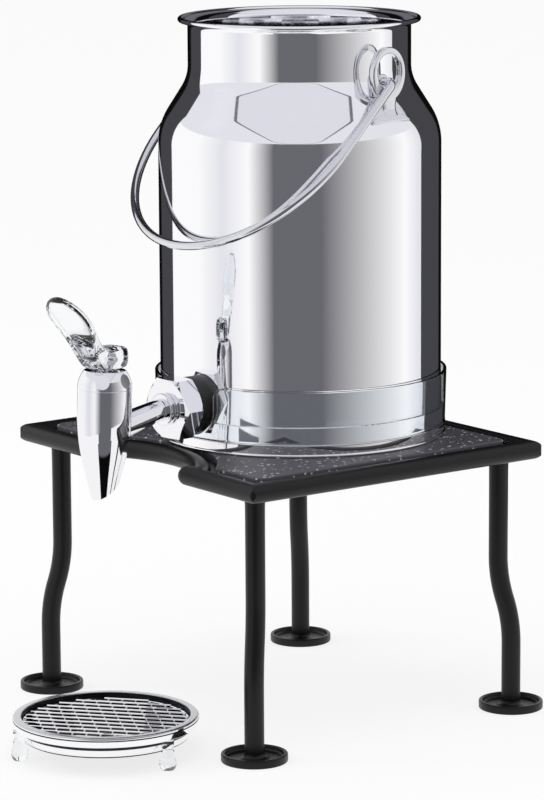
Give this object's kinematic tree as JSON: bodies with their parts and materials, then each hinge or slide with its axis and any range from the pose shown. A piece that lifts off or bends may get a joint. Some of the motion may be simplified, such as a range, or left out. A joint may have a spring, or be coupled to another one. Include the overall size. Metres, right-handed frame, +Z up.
{
  "type": "milk dispenser",
  "caption": "Table-top milk dispenser: polished can with a swinging bail and lever tap, in a cooled base with a clear collar, on a black bar stand, with a separate drip tray.",
  "frame": {"origin": "on the table, under the middle of the set's bounding box", "axes": "+Z up, the tap points to -Y (turned 5 degrees towards +X as it stands), +X to the right seen from the tap"},
  "size_m": [0.2594, 0.3376, 0.4331],
  "materials": {
    "polished_steel": "mirror polished stainless sheet",
    "chrome": "bright plated",
    "black_powder_coat": "satin black powder coat on steel bar",
    "speckled_mat": "dark mat with pale speckles",
    "clear_acrylic": "clear, polished",
    "pack_shell": "pale moulded shell of the cooling pack",
    "black_rubber": "moulded",
    "silicone": "pale moulded silicone"
  },
  "bodies": {
    "stand": {"rim_rail": "black_powder_coat", "recess_rail": "black_powder_coat", "deck_plate": "black_powder_coat", "leg_front_left": "black_powder_coat", "leg_front_right": "black_powder_coat", "leg_rear_left": "black_powder_coat", "leg_rear_right": "black_powder_coat", "cup_front_left": "black_powder_coat", "cup_front_right": "black_powder_coat", "cup_rear_left": "black_powder_coat", "cup_rear_right": "black_powder_coat", "deck_mat": "speckled_mat"},
    "cooling_base": {"base_shell": "polished_steel", "cooling_pack": "pack_shell", "clear_collar": "clear_acrylic"},
    "can": {"can_shell": "polished_steel", "can_bottom": "polished_steel", "ear_plate_left": "polished_steel", "ear_plate_right": "polished_steel", "ear_eye_left": "polished_steel", "ear_eye_right": "polished_steel", "tap_gasket": "black_rubber", "hex_nut": "chrome", "shank_ring": "chrome", "tap_shank": "chrome", "inner_washer": "black_rubber", "lock_nut": "chrome", "tap_body": "chrome", "bonnet": "chrome"},
    "bail": {"bail": "polished_steel"},
    "valve": {"valve_stem": "chrome", "seat_cup": "silicone"},
    "lever": {"tap_lever": "clear_acrylic", "lever_pin": "chrome"},
    "drip_tray": {"drip_bowl": "chrome", "drip_rim": "chrome", "drip_foot_front": "clear_acrylic", "drip_foot_right": "clear_acrylic", "drip_foot_rear": "clear_acrylic"},
    "drip_grid": {"drip_grid": "chrome"}
  },
  "joints": [
    {"name": "base_lift", "type": "slide", "parent": "stand", "child": "cooling_base", "axis": [0, 0, 1], "range_m": [0, 0.12]},
    {"name": "can_lift", "type": "slide", "parent": "cooling_base", "child": "can", "axis": [0, 0, 1], "range_m": [0, 0.15]},
    {"name": "bail_swing", "type": "hinge", "parent": "can", "child": "bail", "pos_m": [0.0051, 0.06295, 0.3982], "axis": [-0.9962, -0.0872, 0], "range_deg": [0, 267]},
    {"name": "stem_lift", "type": "slide", "parent": "can", "child": "valve", "axis": [-0.003, 0.0348, 0.9994], "range_m": [0, 0.0053], "stiffness_N_per_m": 150, "springref_m": -0.006},
    {"name": "lever_pull", "type": "hinge", "parent": "valve", "child": "lever", "pos_m": [0.0189, -0.09481, 0.23729], "axis": [0.9563, 0.2922, -0.0073], "range_deg": [0, 35]},
    {"name": "tray_lift", "type": "slide", "parent": "stand", "child": "drip_tray", "axis": [0, 0, 1], "range_m": [0, 0.06]},
    {"name": "grid_lift", "type": "slide", "parent": "drip_tray", "child": "drip_grid", "axis": [0, 0, 1], "range_m": [0, 0.04]}
  ],
  "couplings": [
    {"joint": "lever_pull", "follows": "stem_lift", "rad_per_m": 114.94}
  ]
}
